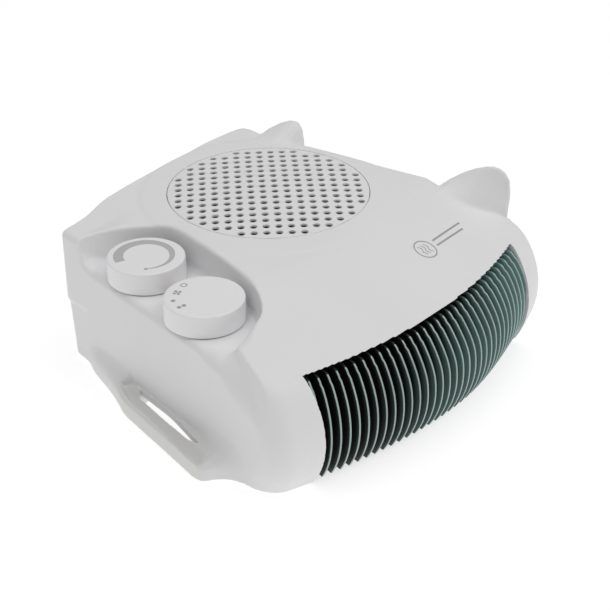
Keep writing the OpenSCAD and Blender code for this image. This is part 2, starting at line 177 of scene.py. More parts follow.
def top_z(x, y):
    """Height of the roof, which sinks a little at the left rear corner."""
    rho = np.hypot(x - FAN[0], y - FAN[1])
    sink = (3.0 * ss(-50, -74, x) - 0.8 * ss(-80, -90, x)) * ss(36, 50, y)
    return mix(ROOF_Z - sink, dome_z(rho), ss(80.5, 75.5, rho))


def bulge(bow, z):
    """The front in section: an arc that runs on straight above and below."""
    out, up = bow - BULGE_R0, z - BULGE_Z
    c, s = math.cos(BULGE_ARC), math.sin(BULGE_ARC)
    arc = np.hypot(out, up) - BULGE_R
    above = out * c + up * s - BULGE_R
    below = out * c - up * s - BULGE_R
    steep = np.abs(up) * c > out * s
    return np.where(steep, np.where(up > 0, above, below), arc)


def recess_line():
    """Plan outline of the control recess, open to the left."""
    rear_edge = [(-120, 44.8), (-98, 44.6), (-88, 43.4), (-80.5, 39.6), (-74, 35.3), (-67.5, 30.9),
                 (-62, 26.3), (-57.4, 21.2), (-54, 15.4), (-52.9, 9), (-53.4, 1.1), (-55.2, -9)]
    beside_k1 = [(21.2, -33)]
    beside_k2 = [(27.4, 3.5), (23.3, -10.5), (18.8, -21), (13.8, -29), (7.6, -34), (-2, -36.6), (-20, -37.2)]
    points = rear_edge + [(K1[0] + x, K1[1] + y) for x, y in beside_k1]
    points += [(K2[0] + x, K2[1] + y) for x, y in beside_k2]
    return [(-160, 44.8)] + smooth_line(points, 3, closed=False) + [(-160, K2[1] - 37.2)]


RECESS_LINE = recess_line()


def recess(x, y, z):
    """The space cut out for the knobs, with its floor blended into its walls."""
    w = poly_sd(RECESS_LINE, x, y) - (z - 80) * 0.05
    return rint(w, RECESS_Z - z, 2.8 + 9.0 * ss(-80, -100, x) * ss(8, 26, y))


def recess_edge(x, y, z):
    """Rounding where the recess meets the outer surface."""
    front = ss(-62, -80, y)
    r = 2.0 - 0.6 * front * (1 - ss(-86, -98, x)) + 6.5 * front * ss(-86, -104, x)
    return mix(r, 4.4, ss(75, 71, z) * (1 - front))


# each ear by y: the height of its crest, how far its foot reaches in from the wall, the roof at that foot
REAR_EAR = {
    "crest": [(35, 60), (36.6, 72), (37.6, 83), (38.4, 90), (39.6, 94.2), (41.8, 97), (44.5, 98), (49, 97.4),
              (56, 94), (64, 88.6), (70, 83), (76, 72)],
    "foot": [(34.2, 0), (34.8, 5), (35.6, 11), (37.0, 16.5), (39.0, 20.5), (41.6, 22.8), (45, 23.7),
             (49, 23.5), (56.6, 21.9), (66, 19), (76, 15)],
    "roof": [(32, 81), (38, 86), (46, 88), (70, 88)]}
FRONT_EAR = {
    "crest": [(-112, 50), (-109, 66), (-108.2, 82), (-107.8, 90), (-106.8, 94.2), (-104, 98.0), (-100, 100),
              (-96, 100.3), (-92, 99.5), (-84, 96.2), (-76, 91.4), (-68, 85.4), (-60, 78), (-52, 70)],
    "foot": [(-108.4, 0), (-106.4, 2.9), (-102.3, 7.6), (-97.2, 13.0), (-92.8, 16.9), (-88.5, 19.6),
             (-84.5, 21.1), (-80.6, 21.7), (-72.7, 21.4), (-64, 19), (-52, 14)],
    "roof": [(-110, 68.5), (-97.2, 74.6), (-88.5, 78.4), (-80.6, 81.4), (-72.7, 84.1), (-60, 88)]}


def along(table, y):
    """A value that runs straight from each (y, value) to the next."""
    places, values = np.array(table, dtype=float).T
    return np.interp(y, places, values)


def ear(shape, x, y, z):
    """One stand ear: a fin that rises from the right wall, thinner towards its crest."""
    right = (x - half_w(y)) / LEAN
    crest = along(shape["crest"], y)
    foot = along(shape["foot"], y)
    rise = np.maximum(crest - along(shape["roof"], y), 5.0)
    taper = (foot - 2.6) / rise
    inner = (-right - 2.6 - taper * (crest - z)) / np.sqrt(1.4 + taper * taper)
    inner = np.maximum(inner, -right - foot - 4)
    dy = 0.5
    lean = (along(shape["crest"], y + dy) - along(shape["crest"], y - dy)) / (2 * dy)
    over = (z - crest) / np.sqrt(1 + np.minimum(lean * lean, 60))
    # low down, the fin draws back into the wall
    outside = right + 0.9 + 6.0 * ss(68, 56, z)
    fin = rint(rint(inner, over, EAR_EDGE), outside, EAR_EDGE)
    first, last = shape["crest"][0][0], shape["crest"][-1][0]
    ends = np.maximum(first - y, y - last)
    return np.maximum(fin, np.maximum(55 - z, ends))


def outer(x, y, z, ears=True):
    """The outer form of both shells together, without the bottom."""
    right = (x - half_w(y)) / LEAN
    # the left rear corner stands out a little, down to a step in the wall
    low = ss(42, 38, z)
    left = (-x - half_w(y)) / LEAN - ss(30, 62, y) * (2.0 - low * (1.1 + 0.04 * (40 - z)))
    side = np.maximum(left, right)
    far = 1.0 + 0.6 * ss(0, -40, x) + 2.2 * ss(18, 52, x) - 3.0 * ss(72, 90, x)
    far = far + ss(-66, -88, x) * (0.6 - low * (0.8 + 0.04 * (40 - z)))
    collar = ss(13.0, 9.8, np.hypot(x - CORD[0], z - CORD[2]))
    back = np.hypot(x - BACK_X, y - BACK_Y) - BACK_R - far - collar
    bow = np.hypot(x, y - BOW_Y)
    belly = bulge(bow, z)
    slope = (bow - LIP_R) * math.sin(SLOPE) + (z - LIP_Z) * math.cos(SLOPE)
    roof = rint(z - top_z(x, y), slope, 2.6)
    wall = rint(side, back, np.where(x > 0, 14.0, 2.6))
    plan = rint(wall, belly, np.where(x > 0, 10.5, 14.0))
    # the rounding between roof and walls: rear, then sides, then front
    r_left = 4.0 + 17.0 * ss(-62, -100, y)
    r_side = np.where(x > 0, 20.0 - 17.0 * ss(-98, -112, y), r_left)
    r_front = mix(0.9, 3.4, ss(93, 100, np.abs(x)))
    r_edge = mix(3.2, r_side, ss(-10, 8, side - back))
    r_edge = mix(r_edge, r_front, ss(-8, 6, belly - np.maximum(side, back)))
    body = rint(plan, roof, r_edge)
    if ears:
        body = runi(body, np.maximum(ear(REAR_EAR, x, y, z), wall), 2.2)
        body = runi(body, ear(FRONT_EAR, x, y, z), 2.2)
        body = np.maximum(body, right)
    return rint(body, -recess(x, y, z), recess_edge(x, y, z))


# ------------------------ carry loop
# how far the loop stands out, the bar's width and height, how far the gap goes in under the wall
LOOP_OUT, BAR_W, BAR_Z, GAP_IN = 17.3, 10.5, 13.0, 10.5
GAP_REAR, GAP_MIDDLE, GAP_FRONT = -13.0, -47.0, -75.0
CREASE_Z, RIM_Z, WEB_Z = 7.8, 12.2, 12.6
LOOP_LINE = smooth_line([
    (-84, 62), (-89.5, 52), (-94.6, 42), (-99.2, 30), (-103.4, 20), (-107.7, 10), (-113.4, -2.4),
    (-118.2, -13.0), (-122.3, -30.7), (-126.7, -51.2), (-130.4, -67.8), (-133.3, -80.5), (-133.8, -85.6),
    (-132.2, -89.3), (-127.3, -91.6), (-121.4, -93.8), (-112, -97), (-90, -98), (-70, -20), (-74, 56)], 4)


def gap_line():
    """Plan outline of the finger gap, between the bar and a line under the wall."""
    reach = LOOP_OUT - BAR_W

    def at(wall_y, proud, y):
        return -half_w(wall_y) - proud, y

    rear, middle, front = GAP_REAR, GAP_MIDDLE, GAP_FRONT
    return smooth_line([
        at(rear, reach, rear - 9), at(rear, reach - 1.2, rear - 3.4), at(rear, reach - 5, rear),
        at(rear, 3 - GAP_IN, rear), at(rear, -GAP_IN, rear - 4), at(middle, -GAP_IN, middle),
        at(front, -GAP_IN, front + 4), at(front, 3 - GAP_IN, front), at(front, reach - 5, front),
        at(front, reach - 1, front + 2), at(front, reach, front + 7), at(middle, reach, middle)], 3)


GAP_LINE = gap_line()


def gap(x, y, z):
    """The finger gap: open right through outside the wall, and only from below under it."""
    left = (-x - half_w(y)) / LEAN
    under = runi(z - SPLIT, 1.2 + 4.6 * ss(-35, -80, y) - left, 2.0)
    return np.maximum(poly_sd(GAP_LINE, x, y), under)


def loop(x, y, z):
    """The carry loop, whose flat part goes on under the body."""
    line = poly_sd(LOOP_LINE, x, y) - 0.9 * ss(-96, -104, x)
    # along the bar, a crease runs a few mm inside the outer edge, and the inner face rises from it
    on_bar = ss(10, -8, y) * ss(-88.5, -83.0, y)
    crease = -line - (5.2 - 2.6 * ss(-30, -84, y))
    face = np.minimum(CREASE_Z + 0.85 * crease, BAR_Z)
    rim = np.minimum(CREASE_Z - 1.7 * crease, RIM_Z)
    top = mix(WEB_Z, np.where(crease > 0, face, rim), on_bar)
    return rint(line, z - top, mix(4.2, 1.6, on_bar))


# ------------------------ shells as a field
# screw posts in plan, their radius, and the radii of the foot's seat and the screw hole under each
POSTS = [(-70, 49), (78, 58), (-104, -104), (104, -104)]
POST_R, FOOT_R, SCREW_R = 6.5, 4.25, 1.7
FOOT_DEPTH, SCREW_TOP = 4.1, 30
# the intake disc's seat, the opening under it and how far down that goes
SEAT_R, INTAKE_R, INTAKE_Z = 61.7, 58.3, 70
# holes for spindles, lamp and cord bushing, cut from this height or this far back
SPINDLE_HOLE_R, LAMP_HOLE_R, CORD_HOLE_R = 4.65, 3.7, 7.15
HOLES_FROM = 60
# the outlet starts this far from the bow's centre and in front of OUTLET_Y, its cheeks in front of CHEEK_Y
OUTLET_R, OUTLET_Y, CHEEK_Y = 309, -90, -103


def shell(x, y, z):
    """Both shells with the carry loop, hollow, with every opening."""
    rear = ss(-1.2, 1.2, (y + 0.9 + (x + 104.6) * 0.83) * 0.77) * ss(50, 30, y)
    front = ss(-56, -86, y)
    both = runi(outer(x, y, z), loop(x, y, z), 1.0 + 9.0 * rear + 14.0 * front * front)
    both = rint(both, BASE - z, BASE_EDGE)
    fingers = gap(x, y, z)
    solid = rint(both, -fingers, 0.7)
    # the hollow inside, which leaves the outlet's cheeks and the posts standing
    room = rint(outer(x, y, z, ears=False), BASE - z, BASE_EDGE) + WALL
    room = np.maximum(room, WALL - fingers)
    cheek = np.maximum(np.abs(x) - (OUT_W + WALL), OUT_W - np.abs(x))
    room = np.maximum(room, -np.maximum(cheek, y - CHEEK_Y))
    for px, py in POSTS:
        room = np.maximum(room, POST_R - np.hypot(x - px, y - py))
    solid = np.maximum(solid, -room)
    # the openings
    outlet = np.maximum(np.abs(x) - OUT_W, OUTLET_R - np.hypot(x, y - BOW_Y))
    outlet = np.maximum(outlet, np.maximum(y - OUTLET_Y, z - LIP_Z))
    solid = rint(solid, -outlet, 0.5)
    rho = np.hypot(x - FAN[0], y - FAN[1])
    seat = np.maximum(rho - SEAT_R, top_z(x, y) - WALL - z)
    seat = np.minimum(seat, np.maximum(rho - INTAKE_R, INTAKE_Z - z))
    solid = rint(solid, -seat, 0.35)
    for (cx, cy), r in ((K1, SPINDLE_HOLE_R), (K2, SPINDLE_HOLE_R), (LAMP, LAMP_HOLE_R)):
        solid = np.maximum(solid, -np.maximum(np.hypot(x - cx, y - cy) - r, HOLES_FROM - z))
    cord_hole = np.maximum(np.hypot(x - CORD[0], z - CORD[2]) - CORD_HOLE_R, HOLES_FROM - y)
    solid = np.maximum(solid, -cord_hole)
    for px, py in POSTS:
        d = np.hypot(x - px, y - py)
        solid = np.maximum(solid, -np.maximum(d - FOOT_R, z - (BASE + FOOT_DEPTH)))
        solid = np.maximum(solid, -np.maximum(d - SCREW_R, z - SCREW_TOP))
    return solid


# ------------------------ dual contouring
def gradient(f, p, h):
    """Unit direction in which the field grows, at points p."""
    g = np.empty_like(p)
    for c in range(3):
        a = p.copy()
        b = p.copy()
        a[:, c] += h
        b[:, c] -= h
        g[:, c] = f(a[:, 0], a[:, 1], a[:, 2]) - f(b[:, 0], b[:, 1], b[:, 2])
    g /= np.maximum(np.linalg.norm(g, axis=1, keepdims=True), 1e-12)
    return g


def contour(f, box0, box1, step, h=0.02):
    """Quads on f = 0 with vertices placed by the crossings and their normals, so that edges stay crisp."""
    dims = [int(math.ceil((b - a) / step)) + 1 for a, b in zip(box0, box1)]
    ax = [box0[c] + step * np.arange(dims[c]) for c in range(3)]
    # the field on a grid, a few layers at a time
    vals = np.empty(dims, np.float32)
    chunk = 24
    for i in range(0, dims[0], chunk):
        vals[i:i + chunk] = f(ax[0][i:i + chunk, None, None], ax[1][None, :, None], ax[2][None, None, :])
    neg = vals < 0
    cdims = [d - 1 for d in dims]
    pts, nrm, cells, quads, flips = [], [], [], [], []
    stride = (cdims[1] * cdims[2], cdims[2], 1)
    # grid edges along each axis whose ends differ in sign, apart from those on the box's sides
    for c in range(3):
        s0 = [slice(None)] * 3
        s1 = [slice(None)] * 3
        s0[c] = slice(0, -1)
        s1[c] = slice(1, None)
        cross = neg[tuple(s0)] != neg[tuple(s1)]
        u, v = [(1, 2), (2, 0), (0, 1)][c]
        for k in (u, v):
            edge = [slice(None)] * 3
            edge[k] = slice(0, 1)
            cross[tuple(edge)] = False
            edge[k] = slice(-1, None)
            cross[tuple(edge)] = False
        idx = np.argwhere(cross)
        if not len(idx):
            continue
        j = idx.copy()
        j[:, c] += 1
        va = vals[idx[:, 0], idx[:, 1], idx[:, 2]].astype(np.float64)
        vb = vals[j[:, 0], j[:, 1], j[:, 2]].astype(np.float64)
        a = np.stack([ax[q][idx[:, q]] for q in range(3)], 1)
        b = np.stack([ax[q][j[:, q]] for q in range(3)], 1)
        # where the field is zero between a and b
        t0 = np.zeros(len(idx))
        t1 = np.ones(len(idx))
        t = va / (va - vb)
        for _ in range(4):
            p = a + (b - a) * t[:, None]
            w = f(p[:, 0], p[:, 1], p[:, 2])
            same = (w < 0) == (va < 0)
            t0 = np.where(same, t, t0)
            va2 = np.where(same, w, va)
            t1 = np.where(same, t1, t)
            vb2 = np.where(same, vb, w)
            va, vb = va2, vb2
            t = np.clip(t0 + (t1 - t0) * va / np.where(va == vb, 1, va - vb), t0, t1)
        p = a + (b - a) * t[:, None]
        n = gradient(f, p, h)
        # the four cells round the edge make a quad
        base = idx[:, 0] * stride[0] + idx[:, 1] * stride[1] + idx[:, 2]
        around = [base - stride[u] - stride[v], base - stride[v], base, base - stride[u]]
        for q in around:
            pts.append(p)
            nrm.append(n)
            cells.append(q)
        quads.append(np.stack(around, 1))
        flips.append(neg[idx[:, 0], idx[:, 1], idx[:, 2]])
    pts = np.concatenate(pts)
    nrm = np.concatenate(nrm)
    cells = np.concatenate(cells)
    quads = np.concatenate(quads)
    flips = np.concatenate(flips)
    # one vertex for each cell, close to all the tangent planes at its crossings
    used, inv = np.unique(cells, return_inverse=True)
    n = len(used)
    count = np.bincount(inv, minlength=n).astype(np.float64)
    mass = np.stack([np.bincount(inv, pts[:, c], n) for c in range(3)], 1) / count[:, None]
    rel = pts - mass[inv]
    d = np.einsum("ij,ij->i", nrm, rel)
    ata = np.empty((n, 3, 3))
    atb = np.empty((n, 3))
    for i in range(3):
        atb[:, i] = np.bincount(inv, nrm[:, i] * d, n)
        for k in range(3):
            ata[:, i, k] = np.bincount(inv, nrm[:, i] * nrm[:, k], n)
    ata += np.eye(3)[None] * 0.04 * count[:, None, None]
    off = np.linalg.solve(ata, atb[:, :, None])[:, :, 0]
    cell = np.stack([used // stride[0], (used // stride[1]) % cdims[1], used % cdims[2]], 1)
    low = np.array(box0) + cell * step
    verts = np.clip(mass + off, low - 0.1 * step, low + 1.1 * step)
    quads = np.searchsorted(used, quads)
    quads = np.where(flips[:, None], quads, quads[:, ::-1])
    return verts, quads


def mesh_object(name, verts, faces, angle=38.0):
    """A smooth-shaded mesh object from plan millimetres, sharp where faces turn by more than angle."""
    me = bpy.data.meshes.new(name)
    v = metres(verts)
    if isinstance(faces, np.ndarray):
        me.vertices.add(len(v))
        me.vertices.foreach_set("co", v.astype(np.float32).ravel())
        k = faces.shape[1]
        me.loops.add(faces.size)
        me.loops.foreach_set("vertex_index", faces.astype(np.int32).ravel())
        me.polygons.add(len(faces))
        me.polygons.foreach_set("loop_start", np.arange(0, faces.size, k, dtype=np.int32))
        me.update(calc_edges=True)
    else:
        me.from_pydata([tuple(p) for p in v], [], faces)
    me.validate()
    me.polygons.foreach_set("use_smooth", np.full(len(me.polygons), True))
    if angle:
        me.set_sharp_from_angle(angle=math.radians(angle))
    ob = bpy.data.objects.new(name, me)
    bpy.context.scene.collection.objects.link(ob)
    return ob


def thin_out(ob, ratio):
    """Keep this share of the faces."""
    ob.modifiers.new("thin", "DECIMATE").ratio = ratio
    deps = bpy.context.evaluated_depsgraph_get()
    me = bpy.data.meshes.new_from_object(ob.evaluated_get(deps))
    ob.modifiers.clear()
    old = ob.data
    ob.data = me
    bpy.data.meshes.remove(old)


def face_out(ob, weld=0.0):
    """Turn all faces outwards, after joining vertices closer than weld metres."""
    bm = bmesh.new()
    bm.from_mesh(ob.data)
    if weld:
        bmesh.ops.remove_doubles(bm, verts=bm.verts[:], dist=weld)
    bmesh.ops.recalc_face_normals(bm, faces=bm.faces[:])
    bm.to_mesh(ob.data)
    bm.free()


def field_shading(ob, f, angle=38.0, h=0.05):
    """Smooth shading; away from sharp edges the normals come from the field itself."""
    me = ob.data
    me.polygons.foreach_set("use_smooth", np.ones(len(me.polygons), dtype=bool))
    me.set_sharp_from_angle(angle=math.radians(angle))
    n = len(me.vertices)
    co = np.empty(n * 3)
    me.vertices.foreach_get("co", co)
    p = co.reshape(-1, 3) * 1000 - np.array([MX, MY, 0])
    g = gradient(f, p, h)
    sharp = np.zeros(len(me.edges), dtype=bool)
    attr = me.attributes.get("sharp_edge")
    if attr:
        attr.data.foreach_get("value", sharp)
    ev = np.empty(len(me.edges) * 2, dtype=np.int32)
    me.edges.foreach_get("vertices", ev)
    ev = ev.reshape(-1, 2)
    edge_v = np.zeros(n, dtype=bool)
    edge_v[ev[sharp].ravel()] = True
    vn = np.empty(n * 3)
    me.vertices.foreach_get("normal", vn)
    vn = vn.reshape(-1, 3)
    bad = edge_v | (np.einsum("ij,ij->i", vn, g) < 0.8)
    lv = np.empty(len(me.loops), dtype=np.int32)
    me.loops.foreach_get("vertex_index", lv)
    custom = g[lv]
    custom[bad[lv]] = 0
    me.normals_split_custom_set([tuple(c) for c in custom])


# ------------------------ shells
SHELL_STEP, SHELL_KEEP = ((1.05, 0.32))
SHELL_LOW, SHELL_HIGH = (-137.5, -159.5, -0.5), (123.5, 85.5, 103.0)
# the loop's root, left of LOOP_X and below LOOP_Z, goes with the lower shell where it stands this far out
LOOP_X, LOOP_Z, SEAM_OUT = -85, 30, 0.35


def part_of(src, name, keep):
    """A copy of src with only the faces that keep() wants, cut along the seams beforehand."""
    ob = bpy.data.objects.new(name, src.data.copy())
    ob.data.name = name
    bpy.context.scene.collection.objects.link(ob)
    bm = bmesh.new()
    bm.from_mesh(ob.data)
    split = SPLIT / 1000
    everything = bm.verts[:] + bm.edges[:] + bm.faces[:]
    bmesh.ops.bisect_plane(bm, geom=everything, dist=1e-7, plane_co=Vector((0, 0, split)), plane_no=(0, 0, 1))

    def by_loop(middle):
        return middle.x < (LOOP_X + MX) / 1000 and split - 1e-6 < middle.z < LOOP_Z / 1000

    near = [f for f in bm.faces if by_loop(f.calc_center_median())]
    geom = list({v for f in near for v in f.verts}) + list({e for f in near for e in f.edges}) + near
    seam = Vector(metres((-half_w(0) - SEAM_OUT, 0, 0)))
    bmesh.ops.bisect_plane(bm, geom=geom, dist=1e-7, plane_co=seam, plane_no=(-1 / LEAN, -SPLAY / LEAN, 0))
    drop = [f for f in bm.faces if not keep(f.calc_center_median())]
    bmesh.ops.delete(bm, geom=drop, context="FACES")
    bm.to_mesh(ob.data)
    bm.free()
    return ob


def in_lower(c):
    """Whether a point in the frame belongs to the lower shell."""
    x, y, z = c.x * 1000 - MX, c.y * 1000 - MY, c.z * 1000
    if z < SPLIT:
        return True
    out = (-x - half_w(y)) / LEAN
    return out > SEAM_OUT and z < LOOP_Z and x < LOOP_X


verts, quads = contour(shell, SHELL_LOW, SHELL_HIGH, SHELL_STEP)
whole = mesh_object("whole_shell", verts, quads)
thin_out(whole, SHELL_KEEP)
top = part_of(whole, "top_shell", lambda c: not in_lower(c))
low = part_of(whole, "lower_shell", in_lower)
bpy.data.objects.remove(whole)
for ob in (top, low):
    field_shading(ob, shell)


# ------------------------ intake disc
# its radius, the radius where its thicker rim begins, its thickness and the depth of the holes
DISC_R, DISC_RIM, DISC_SKIN, HOLE_DEPTH = 61.3, 59.2, 2.1, 2.2
PITCH, HOLE_R, HOLES_WITHIN = 7.3, 2.05, 58.5
# ribs below it: half width, top and bottom below the face, and how far out they run
RIB_HALF, RIB_TOP, RIB_BOTTOM, RIBS_WITHIN = 1.5, 1.7, 5.6, 56.5
DISC_STEP, DISC_KEEP = ((0.5, 0.42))
DISC_REACH, DISC_LOW, DISC_HIGH = 62.3, 80.9, 92.3


def disc_field(x, y, z):
    """The perforated disc, domed, with ribs below."""
    dx, dy = x - FAN[0], y - FAN[1]
    rho = np.hypot(dx, dy)
    face_z = dome_z(rho)
    skin = np.where(rho > DISC_RIM, WALL, DISC_SKIN)
    solid = rint(rint(rho - DISC_R, z - face_z, 0.45), face_z - skin - z, 0.3)
    # the square lattice of holes lies at 45 degrees
    c = math.sqrt(0.5)
    u = (dx * c - dy * c) / PITCH
    v = (dx * c + dy * c) / PITCH
    row = np.floor(v)
    # a rib under every other row of holes
    rib = np.maximum(np.abs(v - row - 0.5) * PITCH - RIB_HALF, np.abs(np.mod(row, 2)) * 9)
    rib = np.maximum(rib, rho - RIBS_WITHIN)
    rib = np.maximum(rib, np.maximum(z - (face_z - RIB_TOP), face_z - RIB_BOTTOM - z))
    cu = np.floor(u) + 0.5
    cv = row + 0.5
    inside = np.hypot(cu, cv) * PITCH < HOLES_WITHIN
    hole = np.where(inside, np.hypot(u - cu, v - cv) * PITCH - HOLE_R, 3.0)
    solid = rint(solid, -np.maximum(hole, face_z - HOLE_DEPTH - z), 0.75)
    return np.minimum(solid, rib)


disc_start = (FAN[0] - DISC_REACH, -DISC_REACH, DISC_LOW)
disc_end = (FAN[0] + DISC_REACH, DISC_REACH, DISC_HIGH)
verts, quads = contour(disc_field, disc_start, disc_end, DISC_STEP, h=0.01)
disc = mesh_object("intake_disc", verts, quads)
thin_out(disc, DISC_KEEP)
field_shading(disc, disc_field, h=0.02)


# ------------------------ outlet slats
SLATS = 33
# the slats' back from the bow's centre, the height of their top, and their front behind the bulge's face
SLAT_BACK, SLAT_TOP, SLAT_BEHIND = 311.5, LIP_Z - 2.6, 1.2
# from one side of a slat to the other: inset of its outline, distance from its middle plane
SLAT_STEPS = [(0.55, -0.75), (0.16, -0.62), (0.0, -0.34), (0.0, 0.34), (0.16, 0.62), (0.55, 0.75)]
# rails: heights of their undersides, thickness, and how far their corners are cut
RAILS = (3.0, 22.0, 42.0, LIP_Z - 3.4)
RAIL, RAIL_CUT = 2.5, 0.4


def face_r(z, behind):
    """Distance from the bow's centre to a line this far behind the front's face."""
    return BULGE_R0 + math.sqrt((BULGE_R - behind) ** 2 - (z - BULGE_Z) ** 2)


def slat_outline():
    """One slat from the side, as points of distance from the bow's centre and height."""
    heights = [BASE + (LIP_Z - 7.4 - BASE) * i / 22 for i in range(23)]
    front = [(face_r(z, SLAT_BEHIND), z) for z in heights]
    r_top, z_top = front[-1]
    for i in range(1, 7):
        a = math.radians(15 * i)
        back = 1.2 + 3.4 * (1 - math.cos(a)) + 0.35 * i
        front.append((r_top - back, z_top + (SLAT_TOP - z_top) * math.sin(a)))
    return [(SLAT_BACK, BASE)] + front + [(SLAT_BACK + 3, SLAT_TOP), (SLAT_BACK, SLAT_TOP)]


def inset(points, d):
    """The closed outline moved sideways by d."""
    out = []
    n = len(points)
    for i in range(n):
        a, b, c = Vector(points[i - 1]), Vector(points[i]), Vector(points[(i + 1) % n])
        e0, e1 = (b - a).normalized(), (c - b).normalized()
        n0, n1 = Vector((-e0.y, e0.x)), Vector((-e1.y, e1.x))
        m = n0 + n1
        m = m / max(0.25, m.length_squared) * 2
        out.append((b.x + m.x * d, b.y + m.y * d))
    return out


def slat_bow(phi):
    """How far the slats come forward of the arc, most a little right of the middle."""
    off = phi + math.pi / 2 - 0.06
    reach = 0.23 if off > 0 else 0.35
    return 3.3 * math.cos(math.pi / 2 * min(1.0, abs(off) / reach)) ** 2


def add_slat(verts, faces, mats, outline, inward, phi):
    """One upright slat at angle phi round the bow's centre."""
    c, s = math.cos(phi), math.sin(phi)
    base, m = len(verts), len(outline)
    bow = slat_bow(phi)
    for d, t in SLAT_STEPS:
        for r, z in inset(outline, d * inward):
            r += bow * float(ss(318, 326, r) * ss(64, 38, z))
            verts.append((c * r - s * t, BOW_Y + s * r + c * t, z))
    for k in range(len(SLAT_STEPS) - 1):
        for j in range(m):
            a = base + k * m + j
            b = base + k * m + (j + 1) % m
            faces.append([a, b, b + m, a + m])
            # material 1 on the front faces paints a highlight along each slat's front edge
            mats.append(1 if 1 <= k <= 2 and 1 <= j < m - 5 else 0)
    faces.append([base + j for j in range(m)][::-1])
    faces.append([base + 5 * m + j for j in range(m)])
    mats += [0, 0]


def add_rail(verts, faces, mats, z0, steps=64):
    """A bar across the backs of all slats, its underside at z0."""
    w, s = RAIL, RAIL_CUT
    section = [(0, s), (s, 0), (w - s, 0), (w, s), (w, w - s), (w - s, w), (s, w), (0, w - s)]
    n = len(section)
    half = math.asin((OUT_W - 0.6) / SLAT_BACK)
    a0, a1 = -math.pi / 2 - half, -math.pi / 2 + half
    base = len(verts)
    for k in range(steps + 1):
        a = a0 + (a1 - a0) * k / steps
        for r, z in section:
            r += SLAT_BACK
            verts.append((math.cos(a) * r, BOW_Y + math.sin(a) * r, z0 + z))
    for k in range(steps):
        for j in range(n):
            p = base + k * n + j
            q = base + k * n + (j + 1) % n
            faces.append([p, q, q + n, p + n])
            mats.append(0)
    faces.append([base + j for j in range(n)])
    faces.append([base + steps * n + j for j in range(n)][::-1])
    mats += [0, 0]


def outlet_slats():
    """The slats with their rails, and the material of each face: 1 on the front edges, which carries a
    painted highlight.
    """
    outline = slat_outline()
    area = sum(a[0] * b[1] - b[0] * a[1] for a, b in zip([outline[-1]] + outline, outline))
    inward = 1 if area > 0 else -1
    pitch = 2 * math.asin((OUT_W - 2.6) / LIP_R) / (SLATS - 1)
    verts, faces, mats = [], [], []
    for i in range(SLATS):
        phi = -math.pi / 2 + (i - (SLATS - 1) / 2) * pitch
        add_slat(verts, faces, mats, outline, inward, phi)
    for z0 in RAILS:
        add_rail(verts, faces, mats, z0)
    ob = mesh_object("outlet_slats", verts, faces, angle=50)
    face_out(ob)
    return ob, mats


slats, slat_mats = outlet_slats()


# ------------------------ knobs
KNOB_R, KNOB_Z, KNOB_TOP = 22.7, 69.6, 83.0
# the bore for the spindle, the boss round it and how far the top sinks from its middle to CROWN_R
BORE_R, BOSS_R = 3.02, 6
CROWN, CROWN_R = 0.12, 18.0
KNOB_SHARP = 42
# how far the printed marks stand out, and how deep they go in
INK, INK_DEEP = 0.09, 0.15


def circle(steps):
    """Points round a circle of radius 1."""
    return [(math.cos(2 * math.pi * k / steps), math.sin(2 * math.pi * k / steps)) for k in range(steps)]


def revolve(profile, steps):
    """Closed profile of (r, z) turned round z; points with r = 0 become single vertices."""
    verts, faces, ring = [], [], []
    for r, z in profile:
        if r < 1e-6:
            ring.append([len(verts)] * steps)
            verts.append((0, 0, z))
        else:
            ring.append(list(range(len(verts), len(verts) + steps)))
            verts += [(r * c, r * s, z) for c, s in circle(steps)]
    for a, b in zip(ring, ring[1:]):
        for i in range(steps):
            j = (i + 1) % steps
            f = [a[i], a[j], b[j], b[i]]
            f = [v for n, v in enumerate(f) if v not in f[:n]]
            if len(f) > 2:
                faces.append(f)
    return verts, faces


def knob_profile():
    """Half section of a knob, hollow from below round the boss."""
    r, z0, z1 = KNOB_R, KNOB_Z, KNOB_TOP
    boss_z, roof_z = z0 + 3.4, z1 - 2.4
    p = [(BORE_R, boss_z), (BOSS_R, boss_z), (BOSS_R, z1 - 2.6), (BOSS_R + 0.4, roof_z)]
    p += [(r - 2.6, roof_z), (r - 2.0, z1 - 3.0), (r - 2.0, z0 + 0.3), (r - 1.8, z0), (r - 0.35, z0)]
    p += [(r - 0.05, z0 + 0.3), (r - 0.05, z0 + 4), (r - 0.18, z0 + 9), (r - 0.3, z1 - 1.3)]
    for i in range(1, 7):
        a = math.radians(15 * i)
        p.append((r - 0.3 - 0.9 * (1 - math.cos(a)), z1 - 1.0 + 0.9 * math.sin(a)))
    for q in (18, 14, 9, 4.5, 0):
        p.append((q, z1 - CROWN * (q / CROWN_R) ** 2 + 0.02))
    return p + [(0, z1 - 2.0), (BORE_R, z1 - 2.0), (BORE_R, boss_z)]


def knob_piece(name, axis):
    """A knob on its axis."""
    v, f = revolve(knob_profile(), 96)
    ob = mesh_object(name, [(x + axis[0], y + axis[1], z) for x, y, z in v], f, angle=KNOB_SHARP)
    face_out(ob, weld=1e-6)
    ob.data.set_sharp_from_angle(angle=math.radians(KNOB_SHARP))
    return ob


def ink_top(r):
    """Height of a knob's top at a distance from its axis."""
    return KNOB_TOP + 0.02 - CROWN * (r / CROWN_R) ** 2


def at_polar(a, r):
    return r * math.cos(math.radians(a)), r * math.sin(math.radians(a))


